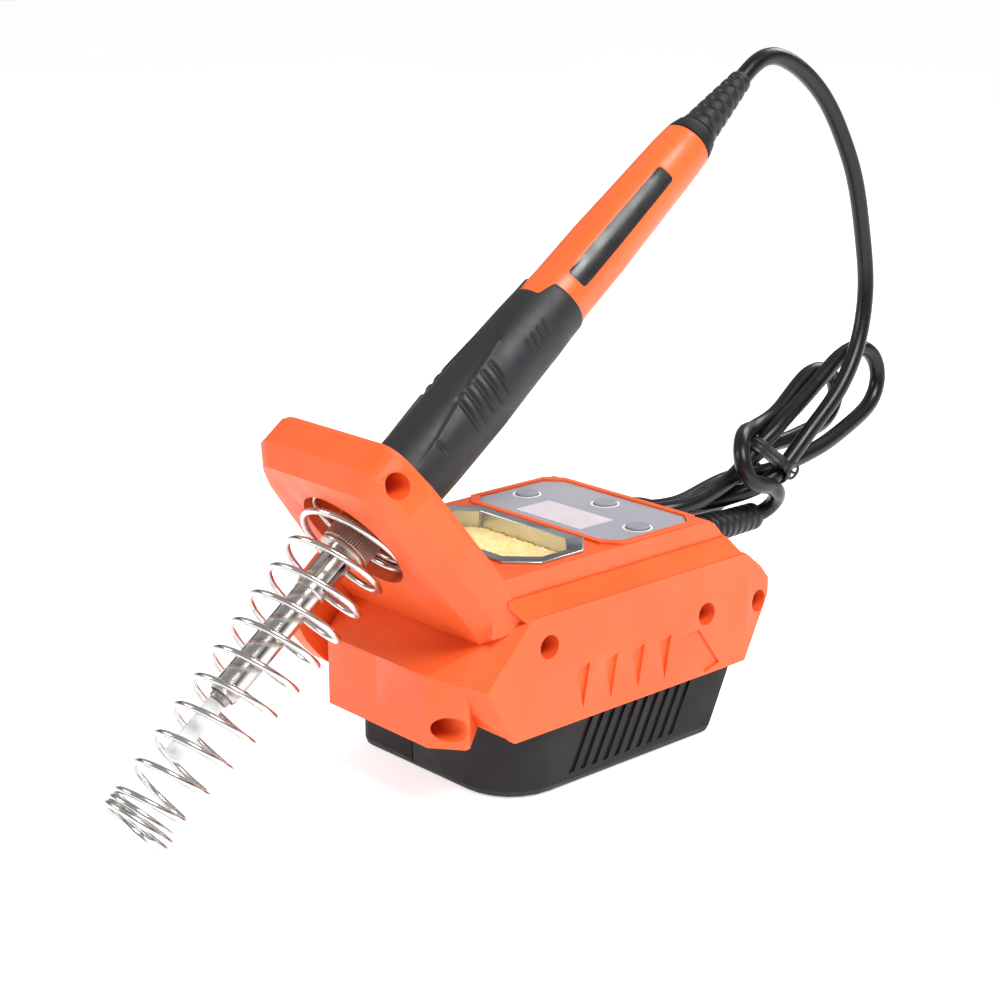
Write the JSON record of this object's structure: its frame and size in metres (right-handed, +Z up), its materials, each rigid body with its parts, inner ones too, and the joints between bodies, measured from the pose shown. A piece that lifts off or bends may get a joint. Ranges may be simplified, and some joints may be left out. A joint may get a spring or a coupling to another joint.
{
  "type": "soldering iron station",
  "caption": "Cordless soldering station: orange housing on a slide-on battery pack, spring stand holding the iron, sponge tray, control panel and a tied cord.",
  "frame": {"origin": "middle of the battery pack's flat bottom face, which the station stands on", "axes": "+Z up, -Y towards the spring stand's free end, +Y towards the handle's cord end and the hank, +X to the right when the spring end faces the viewer"},
  "size_m": [0.082, 0.358, 0.229],
  "materials": {
    "housing_plastic": "fine spark texture, injection moulded",
    "handle_plastic": "smooth moulding, satin",
    "black_plastic": "fine spark texture",
    "grip_rubber": "soft overmould, satin",
    "cord_rubber": "extruded jacket, slightly glossy",
    "spring_steel": "bright nickel plate on drawn wire",
    "screw_steel": "zinc plate",
    "nut_steel": "knurled and nickel plated",
    "barrel_steel": "polished stainless tube",
    "tip_plate": "chrome plated tip with a tinned point",
    "tray_tin": "pressed tin plate",
    "panel_sheet": "bare printed film, grey",
    "window_clear": "clear window",
    "button_plastic": "satin",
    "sponge_cellulose": "cut cellulose sponge, dry",
    "board_laminate": "coated laminate",
    "ceramic": "fired, unglazed",
    "contact_brass": "tinned sheet",
    "cell_can": null,
    "latch_plastic": "satin",
    "cap_clear": "translucent moulded cap",
    "label_film": "bare film"
  },
  "bodies": {
    "station": {"housing_left": "housing_plastic", "housing_right": "housing_plastic", "dock_frame": "black_plastic", "housing_screws": "screw_steel", "dock_screws": "screw_steel", "dock_terminals": "contact_brass", "terminal_block": "black_plastic", "control_board": "board_laminate", "board_screws": "screw_steel", "display_module": "window_clear", "display_window": "window_clear", "control_panel": "panel_sheet", "switch_bodies": "black_plastic", "stand_spring": "spring_steel", "base_boot": "cord_rubber", "cord_hank": "cord_rubber", "cord_tail": "cord_rubber", "cord_tie": "cord_rubber"},
    "battery_pack": {"pack_lower_shell": "black_plastic", "pack_upper_shell": "black_plastic", "pack_cells": "cell_can", "cell_straps": "screw_steel", "pack_board": "board_laminate", "pack_contacts": "contact_brass", "pack_screws": "screw_steel", "latch_spring": "spring_steel"},
    "battery_latch": {"pack_latch": "latch_plastic"},
    "iron": {"handle_shell": "handle_plastic", "grip_sleeve": "grip_rubber", "label_plate": "label_film", "rear_collar": "black_plastic", "iron_boot": "cord_rubber", "lead_board": "board_laminate", "thread_collar": "nut_steel", "heater_base": "ceramic", "heater": "ceramic", "barrel": "barrel_steel", "soldering_tip": "tip_plate", "cord_arch": "cord_rubber"},
    "nut": {"barrel_nut": "nut_steel"},
    "cap": {"tip_cap": "cap_clear"},
    "left_key": {"button_left": "button_plastic"},
    "middle_key": {"button_middle": "button_plastic"},
    "right_key": {"button_right": "button_plastic"},
    "tray": {"sponge_tray": "tray_tin"},
    "sponge_pad": {"sponge": "sponge_cellulose"}
  },
  "joints": [
    {"name": "pack_slide", "type": "slide", "parent": "station", "child": "battery_pack", "axis": [0, 1, 0], "range_m": [0, 0.12]},
    {"name": "latch_press", "type": "slide", "parent": "battery_pack", "child": "battery_latch", "axis": [0, 0, -1], "range_m": [0, 0.003], "stiffness_N_per_m": 800, "springref_m": -0.001, "deforming": ["latch_spring"]},
    {"name": "iron_draw", "type": "slide", "parent": "station", "child": "iron", "axis": [0, 0.7997, 0.6004], "range_m": [0, 0.15]},
    {"name": "nut_turn", "type": "hinge", "parent": "iron", "child": "nut", "pos_m": [0, -0.07689, 0.08809], "axis": [0, 0.7997, 0.6004], "continuous": true},
    {"name": "cap_pull", "type": "slide", "parent": "iron", "child": "cap", "axis": [0, -0.7997, -0.6004], "range_m": [0, 0.022]},
    {"name": "tray_lift", "type": "slide", "parent": "station", "child": "tray", "axis": [0, 0, 1], "range_m": [0, 0.018]},
    {"name": "sponge_lift", "type": "slide", "parent": "tray", "child": "sponge_pad", "axis": [0, 0, 1], "range_m": [0, 0.015]},
    {"name": "left_press", "type": "slide", "parent": "station", "child": "left_key", "axis": [0, 0, -1], "range_m": [0, 0.0005], "stiffness_N_per_m": 2000, "springref_m": -0.0002},
    {"name": "middle_press", "type": "slide", "parent": "station", "child": "middle_key", "axis": [0, 0, -1], "range_m": [0, 0.0005], "stiffness_N_per_m": 2000, "springref_m": -0.0002},
    {"name": "right_press", "type": "slide", "parent": "station", "child": "right_key", "axis": [0, 0, -1], "range_m": [0, 0.0005], "stiffness_N_per_m": 2000, "springref_m": -0.0002}
  ]
}
